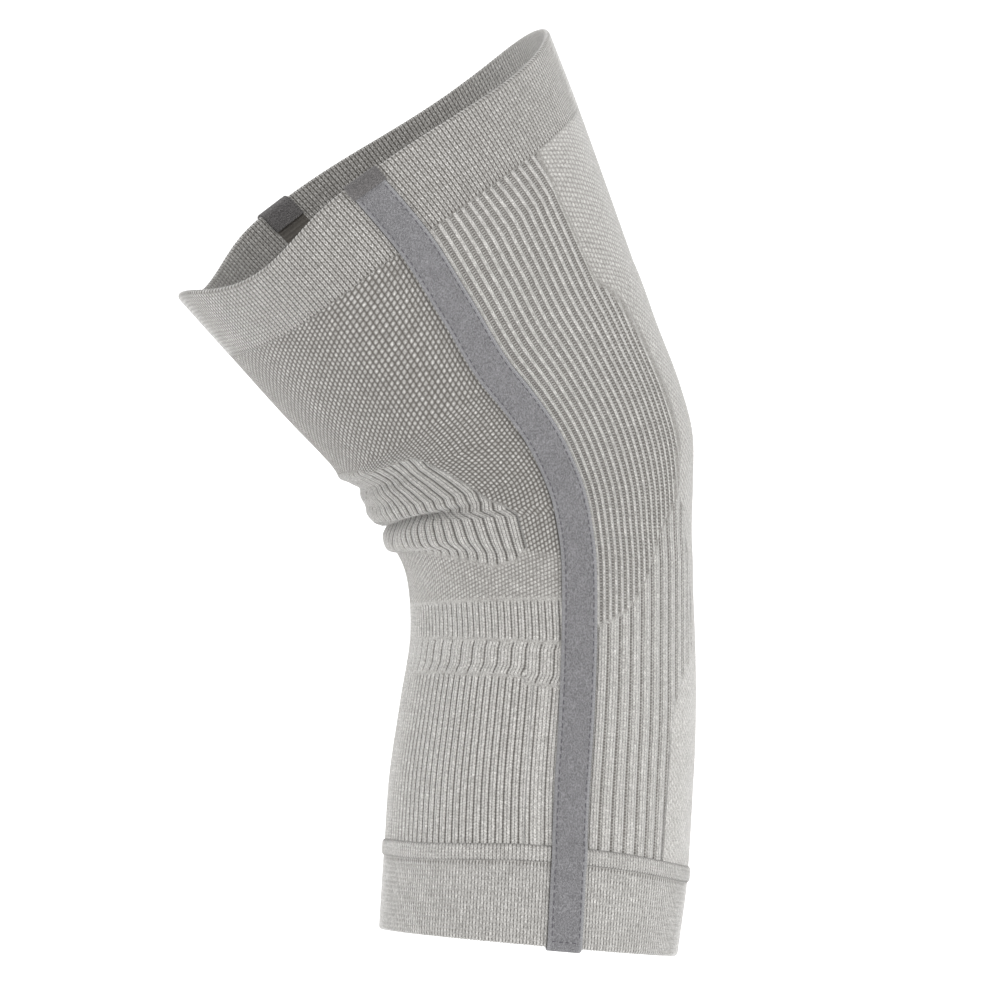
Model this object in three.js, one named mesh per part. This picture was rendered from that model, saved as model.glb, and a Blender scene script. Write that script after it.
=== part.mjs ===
// Knee sleeve: a knitted compression tube in the shape of a bent knee, with a soft tape along each side.
// Frame: the origin is on the sleeve's axis in the middle of the knee's bend. +X points forward, to the
// kneecap, +Z points up and +Y to the far side. The sleeve is the same on both sides of the XZ plane.
// All lengths are in millimetres and all angles in degrees.

import * as THREE from "three";

// Driving sizes of the form
const flexion = 42; // how far the knee is bent
const shinLean = 5.4; // how far the shin's axis leans forward
const bendRadius = 120; // radius of the axis round the knee
const shinLength = 146; // lower edge to the start of the bend, along the axis
const thighLength = 92; // end of the bend to the upper edge, along the axis
const kneeDepth = 128; // front to back at the knee, the unit of the front, back and tape columns
const kneeBreadth = 112; // side to side at the knee, the unit of the breadth column
const edgeSagFront = 4; // how far the upper edge hangs down between the tape and the front
const edgeSagBack = 7.5; // and between the tape and the back
const edgeSagReach = 46; // how far down from the upper edge the sag fades out

// Driving sizes of the pieces
const knitWall = 1.8; // the single knit
const cuffWall = 2.4; // the cuffs, which are turned double
const upperCuffHeight = 31;
const lowerCuffHeight = 28;
const weltHeight = 6; // round ridge between the lower cuff and the knit
const weltRise = 1.2; // how far the ridge stands out
const ribRise = 0.5; // how far a rib's crest stands out and its groove lies in
const tapeWidth = 13.6;
const tapeThickness = 1.2;
const tapeTurnUp = 8; // length of the tape's lower end that is turned to the inside
const capThickness = 0.9; // cap folded over the tape's upper end
const capWidth = 14.6;
const capOutside = 11;
const capInside = 14;
const clearance = 0.35; // between pieces that lie on each other
const seam = 0.3; // between pieces that are knitted end to end

// Columns and rows of the faceted knit, on each side of the sleeve
const ribsFront = 10; // ribs between the plain front panel and the tape
const ribsBack = 12; // ribs between the tape and the back's middle
const plainFrontShare = 0.55; // share of the way from the front's middle to the tape that has no ribs
const plainFrontColumns = 4;
const cuffFrontColumns = 10;
const tapeColumns = 3;
const cuffBackColumns = 11;
const outlineSteps = 90; // steps of a section's half outline
const hemSteps = 4;
const weltSteps = [1, 0.85, 0.5, 0.15, 0]; // shares of the welt's height, from its top down
const slopeStep = 1.5; // length that the surface's slopes are taken over

// A station is 0 at the lower edge, 1 and 2 where the bend starts and ends, and 3 at the upper edge.
// front, back and tape are shares of kneeDepth measured forward from the axis, breadth is a share of
// kneeBreadth, and roundness is the power of the section's outline, 2 for an ellipse.
const sections = [
  { station: 0.0, front: 0.45, back: 0.447, breadth: 0.94, roundness: 2.2, tape: 0.0 },
  { station: 0.2, front: 0.46, back: 0.453, breadth: 0.96, roundness: 2.2, tape: -0.012 },
  { station: 0.4, front: 0.453, back: 0.458, breadth: 0.99, roundness: 2.2, tape: -0.027 },
  { station: 0.6, front: 0.442, back: 0.445, breadth: 1.0, roundness: 2.2, tape: -0.035 },
  { station: 0.8, front: 0.42, back: 0.434, breadth: 0.98, roundness: 2.2, tape: -0.045 },
  { station: 1.0, front: 0.387, back: 0.487, breadth: 0.96, roundness: 2.3, tape: -0.065 },
  { station: 1.15, front: 0.377, back: 0.545, breadth: 0.96, roundness: 2.3, tape: -0.08 },
  { station: 1.3, front: 0.391, back: 0.575, breadth: 0.98, roundness: 2.3, tape: -0.095 },
  { station: 1.45, front: 0.417, back: 0.585, breadth: 0.98, roundness: 2.3, tape: -0.112 },
  { station: 1.6, front: 0.42, back: 0.6, breadth: 1.0, roundness: 2.3, tape: -0.13 },
  { station: 1.8, front: 0.427, back: 0.61, breadth: 1.03, roundness: 2.3, tape: -0.155 },
  { station: 2.0, front: 0.465, back: 0.622, breadth: 1.08, roundness: 2.3, tape: -0.175 },
  { station: 2.33, front: 0.536, back: 0.656, breadth: 1.18, roundness: 2.2, tape: -0.17 },
  { station: 2.66, front: 0.602, back: 0.681, breadth: 1.28, roundness: 2.2, tape: -0.168 },
  { station: 3.0, front: 0.664, back: 0.707, breadth: 1.36, roundness: 2.2, tape: -0.195 },
];

// Folds of the knit behind the knee: a positive rise is a ridge and a negative one a crease. rise is a
// share of kneeDepth, spread is in stations, and reach is the share of the way from the tape to the
// back's middle where the fold begins. It is at its full height from foldFull of that way on.
const foldFull = 0.75;
const folds = [
  { station: 1.07, rise: 0.026, spread: 0.075, reach: 0.15 },
  { station: 1.25, rise: -0.03, spread: 0.055, reach: 0.0 },
  { station: 1.42, rise: 0.014, spread: 0.075, reach: 0.25 },
  { station: 1.68, rise: -0.016, spread: 0.085, reach: 0.35 },
  { station: 1.93, rise: 0.012, spread: 0.075, reach: 0.3 },
];

// The ribs of each panel run between two stations and fade in and out
const ribPanels = {
  front: { from: 0.28, to: 2.6, fade: 0.05 },
  back: { from: 0.28, to: 2.04, fade: 0.08 },
};

// Stations of the knit's rows between its two ends. The knee's rows are the same outside and inside, and
// the tape has the outer rows too, so that it lies flat on them.
const kneeRows = 12;
const outerRows = { shin: [0.38, 0.55, 0.72, 0.84, 0.92], thigh: [2.15, 2.3, 2.48] };
const innerRows = { shin: [0.55, 0.84], thigh: [2.3] };

// Sizes that follow
const radians = Math.PI / 180;
const bendLength = bendRadius * flexion * radians;
const sleeveLength = shinLength + bendLength + thighLength;
const weltStart = lowerCuffHeight + seam;
const knitStart = weltStart + weltHeight + seam;
const knitEnd = sleeveLength - upperCuffHeight - seam;
const cuffMiddle = sleeveLength - upperCuffHeight / 2;
const tapePlace = 1.5; // place round the sleeve of the tape's middle
const tapeFace = clearance + tapeThickness; // height of the tape's outer face
const capLift = tapeFace + clearance; // height of the cap's inner face

const knitColour = 0xb9b6b1;
const cuffColour = 0xb4b2ae;
const tapeColour = 0x8c8b93;
const capColour = 0x76757c;

// Distance along the axis from the lower edge, for a station
function distanceAt(station) {
  if (station < 1) return station * shinLength;
  if (station < 2) return shinLength + (station - 1) * bendLength;
  return shinLength + bendLength + (station - 2) * thighLength;
}

function stationAt(distance) {
  if (distance < shinLength) return distance / shinLength;
  if (distance < shinLength + bendLength) return 1 + (distance - shinLength) / bendLength;
  return 2 + (distance - shinLength - bendLength) / thighLength;
}

function smooth(low, high, value) {
  const t = Math.min(Math.max((value - low) / (high - low), 0), 1);
  return t * t * (3 - 2 * t);
}

// The axis: a straight shin, an arc round the knee and a straight thigh, in the XZ plane
function axisAt(distance) {
  const round = Math.min(Math.max(distance - shinLength, 0), bendLength);
  const lean = shinLean * radians - round / bendRadius;
  const middleLean = (shinLean - flexion / 2) * radians;
  const beyond = Math.min(distance - shinLength, 0) + Math.max(distance - shinLength - bendLength, 0);
  return {
    x: bendRadius * (Math.cos(lean) - Math.cos(middleLean)) + Math.sin(lean) * beyond,
    z: bendRadius * (Math.sin(middleLean) - Math.sin(lean)) + Math.cos(lean) * beyond,
    forwardX: Math.cos(lean),
    forwardZ: -Math.sin(lean),
  };
}

// A column of the sections table at a distance, on a smooth curve through its rows
const sectionDistances = sections.map((row) => distanceAt(row.station));
function columnAt(name, distance) {
  const last = sections.length - 1;
  const at = Math.min(Math.max(distance, sectionDistances[0]), sectionDistances[last]);
  let row = 0;
  while (row < last - 1 && sectionDistances[row + 1] < at) row += 1;
  const length = (i) => sectionDistances[i + 1] - sectionDistances[i];
  const rise = (i) => (sections[i + 1][name] - sections[i][name]) / length(i);
  const slope = (i) => {
    if (i === 0) return rise(0);
    if (i === last) return rise(last - 1);
    return (rise(i - 1) * length(i) + rise(i) * length(i - 1)) / (length(i - 1) + length(i));
  };
  const t = (at - sectionDistances[row]) / length(row);
  return (
    (2 * t ** 3 - 3 * t ** 2 + 1) * sections[row][name] +
    (t ** 3 - 2 * t ** 2 + t) * length(row) * slope(row) +
    (3 * t ** 2 - 2 * t ** 3) * sections[row + 1][name] +
    (t ** 3 - t ** 2) * length(row) * slope(row + 1)
  );
}

// The section's half outline at a distance, from the front's middle to the back's, as points with their
// length along it, and where the tape's middle lies on it
const outlines = new Map();
function outlineAt(distance) {
  if (outlines.has(distance)) return outlines.get(distance);
  const front = columnAt("front", distance) * kneeDepth;
  const back = columnAt("back", distance) * kneeDepth;
  const breadth = (columnAt("breadth", distance) * kneeBreadth) / 2;
  const power = 2 / columnAt("roundness", distance);
  const tape = columnAt("tape", distance) * kneeDepth;
  const points = [];
  let tapeMiddle = 0;
  for (let i = 0; i <= outlineSteps; i += 1) {
    const angle = (Math.PI * i) / outlineSteps;
    const cosine = Math.cos(angle);
    const forward = Math.sign(cosine) * Math.abs(cosine) ** power * (cosine > 0 ? front : back);
    const point = { forward, side: breadth * Math.max(Math.sin(angle), 0) ** power, length: 0 };
    if (i > 0) {
      const before = points[i - 1];
      const step = Math.hypot(forward - before.forward, point.side - before.side);
      point.length = before.length + step;
      if (before.forward >= tape && forward < tape) {
        tapeMiddle = before.length + (step * (before.forward - tape)) / (before.forward - forward);
      }
    }
    points.push(point);
  }
  const outline = { points, tapeMiddle, length: points[outlineSteps].length };
  outlines.set(distance, outline);
  return outline;
}

// Places round the sleeve: 0 is the front's middle, 1 and 2 are the tape's edges, 3 is the back's middle
function lengthAtPlace(outline, place) {
  const frontEdge = outline.tapeMiddle - tapeWidth / 2;
  const backEdge = outline.tapeMiddle + tapeWidth / 2;
  if (place < 1) return place * frontEdge;
  if (place < 2) return frontEdge + (place - 1) * tapeWidth;
  return backEdge + (place - 2) * (outline.length - backEdge);
}

// Past the middle of the front or back, the outline goes on as its own mirror image
function outlinePoint(outline, length) {
  const { points } = outline;
  const mirrored = length < 0 || length > outline.length;
  const within = length < 0 ? -length : mirrored ? 2 * outline.length - length : length;
  let i = 1;
  while (i < outlineSteps && points[i].length < within) i += 1;
  const [before, after] = [points[i - 1], points[i]];
  const t = (within - before.length) / (after.length - before.length);
  const side = before.side + t * (after.side - before.side);
  return { forward: before.forward + t * (after.forward - before.forward), side: mirrored ? -side : side };
}

// The upper edge hangs a little between the tape and the front, and between the tape and the back
function sagAt(place, distance) {
  const share = smooth(sleeveLength - edgeSagReach, sleeveLength, distance);
  if (place < 1) return share * edgeSagFront * Math.sin(Math.PI * place) ** 2;
  if (place > 2) return share * edgeSagBack * Math.sin(Math.PI * (place - 2)) ** 2;
  return 0;
}

// How far the folds behind the knee lift or sink the knit
function foldAt(place, distance) {
  const station = stationAt(distance);
  return folds.reduce((lift, fold) => {
    const round = smooth(2 + fold.reach, 2 + foldFull, place);
    const along = Math.exp(-(((station - fold.station) / fold.spread) ** 2));
    return lift + fold.rise * kneeDepth * round * along;
  }, 0);
}

// Point of the outer surface before its folds, moved round by a length. side is -1 for the side that
// shows and 1 for the far side.
function smoothPoint(distance, place, side, across) {
  const low = distance - sagAt(place, distance);
  const outline = outlineAt(low);
  const point = outlinePoint(outline, lengthAtPlace(outline, place) + across);
  const axis = axisAt(low);
  return new THREE.Vector3(
    axis.x + point.forward * axis.forwardX,
    side * point.side,
    axis.z + point.forward * axis.forwardZ,
  );
}

// Point of the sleeve at a height over its outer surface, with the folds added
function surfacePoint(distance, place, side, height, across = 0) {
  const along = smoothPoint(distance + slopeStep, place, side, across);
  along.sub(smoothPoint(distance - slopeStep, place, side, across));
  const round = smoothPoint(distance, place, side, across + slopeStep);
  round.sub(smoothPoint(distance, place, side, across - slopeStep));
  const normal = new THREE.Vector3().crossVectors(along, round).normalize();
  if (side > 0) normal.negate();
  const lift = height + foldAt(place, distance);
  return smoothPoint(distance, place, side, across).addScaledVector(normal, lift);
}

// Closed mesh of a knitted piece, turned so that its faces point out
function meshOf(name, colour, positions, faces) {
  const corner = (i) => new THREE.Vector3().fromArray(positions, 3 * i);
  const volume = faces.reduce((sum, [a, b, c]) => sum + corner(a).dot(corner(b).cross(corner(c))), 0);
  const outward = volume > 0 ? faces : faces.map(([a, b, c]) => [a, c, b]);
  const geometry = new THREE.BufferGeometry();
  geometry.setAttribute("position", new THREE.Float32BufferAttribute(positions, 3));
  geometry.setIndex(outward.flat());
  geometry.computeVertexNormals();
  const material = new THREE.MeshStandardMaterial({ color: colour, roughness: 0.95, metalness: 0 });
  const mesh = new THREE.Mesh(geometry, material);
  mesh.name = name;
  return mesh;
}

// Faces between one copy of a closed profile and the next, for profiles of a number of points
function facesBetween(here, next, rows) {
  const faces = [];
  for (let i = 0; i < rows; i += 1) {
    const above = (i + 1) % rows;
    faces.push([here + i, next + i, next + above], [here + i, next + above, here + above]);
  }
  return faces;
}

// A closed profile of points [distance, height] carried round the sleeve through its columns
function ringMesh(name, colour, profile, columns) {
  const positions = [];
  const faces = [];
  const rows = profile.length;
  columns.forEach((column, j) => {
    for (const [distance, height] of profile) {
      const relief = height < 0 ? 0 : ribRelief(column, distance);
      positions.push(...surfacePoint(distance, column.place, column.side, height + relief).toArray());
    }
    faces.push(...facesBetween(j * rows, ((j + 1) % columns.length) * rows, rows));
  });
  return meshOf(name, colour, positions, faces);
}

// A strip over the tape's line between two paths of points [distance, height], its face and its back,
// which have the same number of points
function stripMesh(name, colour, { face, back }, width, side) {
  const positions = [];
  const faces = [];
  const profile = [...back, ...face.toReversed()];
  const rows = profile.length;
  for (let j = 0; j <= tapeColumns; j += 1) {
    const across = (j / tapeColumns - 0.5) * width;
    for (const [distance, height] of profile) {
      positions.push(...surfacePoint(distance, tapePlace, side, height, across).toArray());
    }
    if (j > 0) faces.push(...facesBetween((j - 1) * rows, j * rows, rows));
  }
  const last = tapeColumns * rows;
  for (let i = 0; i < back.length - 1; i += 1) {
    const [a, b, c, d] = [i, i + 1, rows - 2 - i, rows - 1 - i];
    faces.push([a, b, c], [a, c, d]);
    faces.push([last + a, last + c, last + b], [last + a, last + d, last + c]);
  }
  return meshOf(name, colour, positions, faces);
}

// Both halves of the sleeve's columns from one half, whose first and last column are the middles
function columnsRound(half) {
  const seen = half.map((column) => ({ ...column, side: -1 }));
  const far = half.slice(1, -1).map((column) => ({ ...column, side: 1 }));
  return [...seen, ...far.reverse()];
}

// A column on a rib's crest has rib 1, one in a groove has rib -1
function ribColumns() {
  const half = [];
  for (let i = 0; i < plainFrontColumns; i += 1) {
    half.push({ place: (plainFrontShare * i) / plainFrontColumns, rib: 0 });
  }
  for (let i = 0; i < 2 * ribsFront; i += 1) {
    const place = plainFrontShare + ((1 - plainFrontShare) * i) / (2 * ribsFront);
    half.push({ place, rib: i % 2 === 0 ? -1 : 1, panel: ribPanels.front });
  }
  for (let i = 0; i < tapeColumns; i += 1) half.push({ place: 1 + i / tapeColumns, rib: 0 });
  half.push({ place: 2, rib: 0 });
  for (let i = 1; i <= 2 * ribsBack; i += 1) {
    half.push({ place: 2 + i / (2 * ribsBack), rib: i % 2 === 0 ? -1 : 1, panel: ribPanels.back });
  }
  return columnsRound(half);
}

function plainColumns() {
  const half = [];
  for (let i = 0; i < cuffFrontColumns; i += 1) half.push({ place: i / cuffFrontColumns, rib: 0 });
  for (let i = 0; i < tapeColumns; i += 1) half.push({ place: 1 + i / tapeColumns, rib: 0 });
  for (let i = 0; i <= cuffBackColumns; i += 1) half.push({ place: 2 + i / cuffBackColumns, rib: 0 });
  return columnsRound(half);
}

function ribRelief(column, distance) {
  if (column.rib === 0) return 0;
  const { from, to, fade } = column.panel;
  const station = stationAt(distance);
  const share = smooth(from - fade, from + fade, station) * (1 - smooth(to - fade, to + fade, station));
  return column.rib * ribRise * share;
}

// Round hem of a wall at an edge: points from the inside to the outside, bulging to the edge
function hem(edge, wall, direction) {
  const radius = wall / 2;
  const points = [];
  for (let i = 1; i < hemSteps; i += 1) {
    const angle = (Math.PI * i) / hemSteps;
    points.push([edge - direction * radius * (1 - Math.sin(angle)), -radius * (1 + Math.cos(angle))]);
  }
  return points;
}

// Distances of the knee's rows, with some rows of the shin and the thigh
function kneeRowsWith({ shin, thigh }) {
  const knee = [];
  for (let i = 0; i <= kneeRows; i += 1) knee.push(1 + i / kneeRows);
  return [...shin, ...knee, ...thigh].map(distanceAt);
}

function knitBody() {
  const inside = [knitStart, ...kneeRowsWith(innerRows), knitEnd];
  const outside = [knitStart, ...kneeRowsWith(outerRows), knitEnd];
  const profile = [
    ...inside.map((distance) => [distance, -knitWall]),
    ...outside.reverse().map((distance) => [distance, 0]),
  ];
  return ringMesh("knit_body", knitColour, profile, ribColumns());
}

function upperCuff() {
  const start = knitEnd + seam;
  const hemStart = sleeveLength - cuffWall;
  const profile = [
    [start, -cuffWall],
    [cuffMiddle, -cuffWall],
    [hemStart, -cuffWall],
    ...hem(sleeveLength, cuffWall, 1),
    [hemStart, 0],
    [cuffMiddle, 0],
    [start, 0],
  ];
  return ringMesh("upper_cuff", cuffColour, profile, plainColumns());
}

function lowerCuff() {
  const middle = lowerCuffHeight / 2;
  const profile = [
    [cuffWall, -cuffWall],
    [middle, -cuffWall],
    [lowerCuffHeight, -cuffWall],
    [lowerCuffHeight, 0],
    [middle, 0],
    [cuffWall, 0],
    ...hem(0, cuffWall, -1).reverse(),
  ];
  return ringMesh("lower_cuff", cuffColour, profile, plainColumns());
}

// Height of the welt's round face over the outer surface, for a distance
function weltHeightAt(distance) {
  const share = (distance - weltStart) / weltHeight;
  return weltRise * Math.sqrt(Math.max(1 - (2 * share - 1) ** 2, 0));
}

function lowerWelt() {
  const roll = weltSteps.map((share) => weltStart + share * weltHeight);
  const profile = [
    [weltStart, -knitWall],
    [weltStart + weltHeight, -knitWall],
    ...roll.map((distance) => [distance, weltHeightAt(distance)]),
  ];
  return ringMesh("lower_welt", cuffColour, profile, plainColumns());
}

// The tape lies on the sleeve, steps over the welt and turns round the lower hem to the inside
function sideTape(name, side) {
  const ramp = weltHeight / 2;
  const overWelt = [
    [weltStart - ramp, 0],
    [weltStart, weltRise],
    [weltStart + weltHeight, weltRise],
    [weltStart + weltHeight + ramp, 0],
  ];
  const line = [
    [lowerCuffHeight / 2, 0],
    ...overWelt,
    ...kneeRowsWith(outerRows).map((distance) => [distance, 0]),
    [knitEnd, 0],
    [cuffMiddle, 0],
    [sleeveLength, 0],
  ];
  const pathAt = (height) => [
    [tapeTurnUp, -cuffWall - height],
    [-height, -cuffWall - height],
    [-height, height],
    ...line.map(([distance, lift]) => [distance, lift + height]),
  ];
  const paths = { face: pathAt(tapeFace), back: pathAt(clearance) };
  return stripMesh(name, tapeColour, paths, tapeWidth, side);
}

// A cap folded over the upper edge holds the tape's end
function tapeCap(name, side) {
  const edge = sleeveLength + clearance;
  const pathAt = (offset) => [
    [sleeveLength - capInside, -cuffWall - clearance - offset],
    [edge + offset, -cuffWall - clearance - offset],
    [edge + offset, capLift + offset],
    [sleeveLength - capOutside, capLift + offset],
  ];
  const paths = { face: pathAt(capThickness), back: pathAt(0) };
  return stripMesh(name, capColour, paths, capWidth, side);
}

const sleeve = new THREE.Group();
sleeve.add(knitBody(), upperCuff(), lowerCuff(), lowerWelt());
sleeve.add(sideTape("side_tape_outer", -1), sideTape("side_tape_inner", 1));
sleeve.add(tapeCap("tape_cap_outer", -1), tapeCap("tape_cap_inner", 1));

export default sleeve;
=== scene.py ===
"""Looks of a knitted knee sleeve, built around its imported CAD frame.

The knit's surface repeats the form of the CAD source in metres: an outline that changes along an axis
with a round bend, carried on by folds behind the knee. A point is named by its distance from the lower
edge along the axis and its place round the sleeve: 0 is the middle of the front, 1 and 2 are the edges of
the side tape, and 3 is the middle of the back. The knit's columns of loops (wales) are counted from the
tape, and its rows of loops (courses) from the lower edge.
"""

import math

import bpy
import numpy as np
from bpy.props import FloatProperty, FloatVectorProperty, IntProperty, PointerProperty
from bpy.types import Operator, Panel, PropertyGroup
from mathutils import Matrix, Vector


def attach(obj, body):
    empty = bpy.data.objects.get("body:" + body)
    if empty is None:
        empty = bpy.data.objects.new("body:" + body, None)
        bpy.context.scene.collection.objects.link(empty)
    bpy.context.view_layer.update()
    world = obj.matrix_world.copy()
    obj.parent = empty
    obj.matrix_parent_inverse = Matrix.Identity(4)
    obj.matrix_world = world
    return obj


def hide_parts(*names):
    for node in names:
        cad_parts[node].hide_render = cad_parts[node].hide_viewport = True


bl_info = {
    "name": "Knee Sleeve",
    "version": (1, 0, 0),
    "blender": (4, 5, 0),
    "location": "View3D > Sidebar > Knee Sleeve",
    "description": "Builds a ribbed, knitted knee sleeve with side tapes around its CAD frame",
    "category": "Add Mesh",
}

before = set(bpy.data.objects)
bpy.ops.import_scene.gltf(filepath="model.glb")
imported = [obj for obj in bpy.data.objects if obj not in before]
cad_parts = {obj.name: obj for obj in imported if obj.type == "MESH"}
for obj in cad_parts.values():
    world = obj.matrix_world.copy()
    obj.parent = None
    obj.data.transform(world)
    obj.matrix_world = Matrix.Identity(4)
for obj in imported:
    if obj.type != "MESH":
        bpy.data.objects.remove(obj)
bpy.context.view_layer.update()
MM = 0.001
SEAM = 0.0003  # gap between two knitted pieces in the CAD source
HAIRLINE = 0.00005  # what the scene's pieces leave open of it
MAP_LOOPS = 100  # loops to one unit of the knit map
SIDES = (("outer", -1), ("inner", 1))  # each side's name and the way that it faces along Y

# Cross-sections along the sleeve. front, back and tape are shares of the knee's depth, breadth is a share
# of the knee's breadth, and tape is how far forward of the axis the tape's middle lies.
SECTION_COLUMNS = ("station", "front", "back", "breadth", "roundness", "tape")
SECTIONS = (
    (0.00, 0.450, 0.447, 0.94, 2.2, 0.000),
    (0.20, 0.460, 0.453, 0.96, 2.2, -0.012),
    (0.40, 0.453, 0.458, 0.99, 2.2, -0.027),
    (0.60, 0.442, 0.445, 1.00, 2.2, -0.035),
    (0.80, 0.420, 0.434, 0.98, 2.2, -0.045),
    (1.00, 0.387, 0.487, 0.96, 2.3, -0.065),
    (1.15, 0.377, 0.545, 0.96, 2.3, -0.080),
    (1.30, 0.391, 0.575, 0.98, 2.3, -0.095),
    (1.45, 0.417, 0.585, 0.98, 2.3, -0.112),
    (1.60, 0.420, 0.600, 1.00, 2.3, -0.130),
    (1.80, 0.427, 0.610, 1.03, 2.3, -0.155),
    (2.00, 0.465, 0.622, 1.08, 2.3, -0.175),
    (2.33, 0.536, 0.656, 1.18, 2.2, -0.170),
    (2.66, 0.602, 0.681, 1.28, 2.2, -0.168),
    (3.00, 0.664, 0.707, 1.36, 2.2, -0.195),
)

# Folds behind the knee. rise is a share of the knee's depth, spread is in stations, reach is the share of
# the way from the tape to the back's middle where the fold begins, and slant is how many stations it drops
# on that way. A fold is whole from FOLD_FULL of that way on.
FOLD_COLUMNS = ("station", "rise", "spread", "reach", "slant")
FOLDS = (
    (1.11, 0.028, 0.075, 0.15, 0.06),
    (1.41, -0.044, 0.040, 0.05, 0.26),
    (1.57, 0.008, 0.070, 0.20, 0.22),
    (1.76, -0.016, 0.080, 0.35, 0.10),
    (1.96, 0.012, 0.075, 0.30, 0.05),
)
FOLD_FULL = 0.75

# Borders between the knit's panels, each a line of (wale counted from the tape, distance in millimetres),
# and half the width of the step from one panel to the next, in millimetres.
BORDER_SOFT = 0.9
BACK_BORDERS = {
    "fold_ribs_top": (
        (8.8, 150), (9.2, 167), (12.5, 173.5), (15, 176), (17.8, 186), (20.6, 196),
        (24, 210), (26.4, 219), (30, 221), (40, 224), (43, 231), (55, 232),
    ),
    "fold_ribs_bottom": ((8.8, 150), (12, 144), (18, 141), (28, 143), (55, 147)),
    "narrow_ribs_top": ((0, 131), (27, 127.5), (38, 126), (55, 125)),
    "wide_ribs_top": ((0, 114.5), (30, 113), (55, 112)),
    "calf_ribs_top": ((0, 98), (9, 98), (10, 100.5), (55, 99)),
}
FRONT_BORDERS = {
    "shin_ribs_top": (
        (0, 122), (5.5, 125), (10.9, 130), (14.3, 135.5), (17.8, 143), (22.9, 156),
        (26, 161), (28.6, 163.5), (33.8, 170), (36, 165), (40, 153), (43, 141), (44, 116),
    ),
    "shin_ribs_bottom": (
        (0, 0), (28.9, 0), (29.3, 86), (31, 96), (34, 103.5), (39, 111), (43, 116), (44, 116),
    ),
}
# How far the front ribs reach from the tape, a line of (distance in millimetres, wale)
FRONT_RIB_REACH = (
    (160, 30), (173, 33.5), (186, 36.5), (200, 37), (218, 36), (226, 34.5), (233, 33), (241, 29.2),
    (300, 29.2),
)
# How far the wales swing from the tape, lines of (distance in millimetres, wales)
BACK_SWING = (
    (145, -0.6), (151, 0.0), (166, 0.0), (170, 3.0), (175, 2.5), (182, 2.3), (190, 3.8),
    (198, 5.2), (208, 7.0),
)
FRONT_SWING = ((38, 1.5), (50, 1.3), (76, 0.5), (113, 0.0), (278, 0.0), (285, -0.6), (294, -1.5))

# Ribs of each panel: the first groove and the step from one groove to the next in wales, half the groove's
# width in wales, its depth in millimetres, half the width of its line of painted shade in wales, how dark
# that painted shade is, how much of a purl ladder it shows, and how many wales of loops lie from one groove
# to the next.
RIB_COLUMNS = ("first", "step", "width", "depth", "line", "dark", "purl", "wales")
RIBS = {
    "fold": (9.4, 2.83, 0.44, 0.70, 0.42, 1.0, 0, 3),
    "narrow": (0.9, 1.92, 0.40, 0.36, 0.29, 0.9, 0, 2),
    "wide": (1.8, 3.95, 0.45, 0.52, 0.34, 0.95, 0, 4),
    "calf": (8.6, 2.01, 0.40, 0.46, 0.31, 1.0, 0, 2),
    "calf_plain": (1.8, 4.0, 0.45, 0.42, 0.30, 0.9, 0, 4),
    "shin": (4.0, 3.93, 0.60, 0.70, 0.44, 0.85, 0.5, 4),
    "thigh": (3.55, 2.03, 0.52, 0.75, 0.50, 0.48, 1, 2),
}
# How much of a row's wave each course and each wale of the twill moves it on
TWILL_COURSE, TWILL_WALE = 0.75, 0.45


def length_prop(name, text, default, low=0.0, high=1.0):
    """A length in metres."""
    return FloatProperty(
        name=name, description=text, default=default, min=low, max=high, subtype="DISTANCE", unit="LENGTH"
    )


def angle_prop(name, text, degrees):
    """An angle, given in degrees."""
    return FloatProperty(name=name, description=text, default=math.radians(degrees), subtype="ANGLE")


def count_prop(name, text, default):
    """A whole number."""
    return IntProperty(name=name, description=text, default=default, min=1)


def colour_prop(name, text, default):
    """A colour as red, green and blue."""
    return FloatVectorProperty(
        name=name, description=text, default=default, min=0.0, max=1.0, size=3, subtype="COLOR"
    )


class SleeveSizes(PropertyGroup):
    """Lengths and angles of the sleeve, as in its CAD source"""

    flexion: angle_prop("Flexion", "How far the knee is bent", 42)
    shin_lean: angle_prop("Shin lean", "How far the shin leans forward", 5.4)
    bend_radius: length_prop("Bend radius", "Radius of the axis in the bend", 0.120)
    shin_length: length_prop("Shin length", "Length of the axis below the bend", 0.146)
    thigh_length: length_prop("Thigh length", "Length of the axis above the bend", 0.092)
    knee_depth: length_prop("Knee depth", "Depth of the knee from front to back", 0.128)
    knee_breadth: length_prop("Knee breadth", "Breadth of the knee", 0.112)
    sag_front: length_prop("Front sag", "Sag of the upper edge in front of the tape", 0.004)
    sag_back: length_prop("Back sag", "Sag of the upper edge behind the tape", 0.0075)
    sag_reach: length_prop("Sag reach", "Length over which the upper edge sags", 0.046)
    knit_wall: length_prop("Knit wall", "Thickness of the knit", 0.0018)
    cuff_wall: length_prop("Cuff wall", "Thickness of a doubled cuff", 0.0024)
    upper_cuff: length_prop("Upper cuff", "Height of the upper cuff", 0.031)
    lower_cuff: length_prop("Lower cuff", "Height of the lower cuff", 0.028)
    welt_height: length_prop("Welt height", "Height of the welt over the lower cuff", 0.006)
    welt_rise: length_prop("Welt rise", "How far the welt stands proud", 0.0009)
    welt_lift: length_prop("Welt lift", "How much higher the welt lies beside the tape", 0.0034)
    tape_width: length_prop("Tape width", "Width of the side tape", 0.0136)
    tape_thickness: length_prop("Tape thickness", "Thickness of the side tape", 0.0012)
    tape_turn_up: length_prop("Tape turn-up", "Length of tape turned up inside", 0.008)
    cap_thickness: length_prop("Cap thickness", "Thickness of the cap on the tape's end", 0.0009)
    cap_width: length_prop("Cap width", "Width of the cap", 0.0146)
    cap_outside: length_prop("Cap outside", "Length of the cap on the outside", 0.0048)
    cap_inside: length_prop("Cap inside", "Length of the cap on the inside", 0.009)
    clearance: length_prop("Clearance", "Gap between the tape and the knit", 0.00035)


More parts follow.
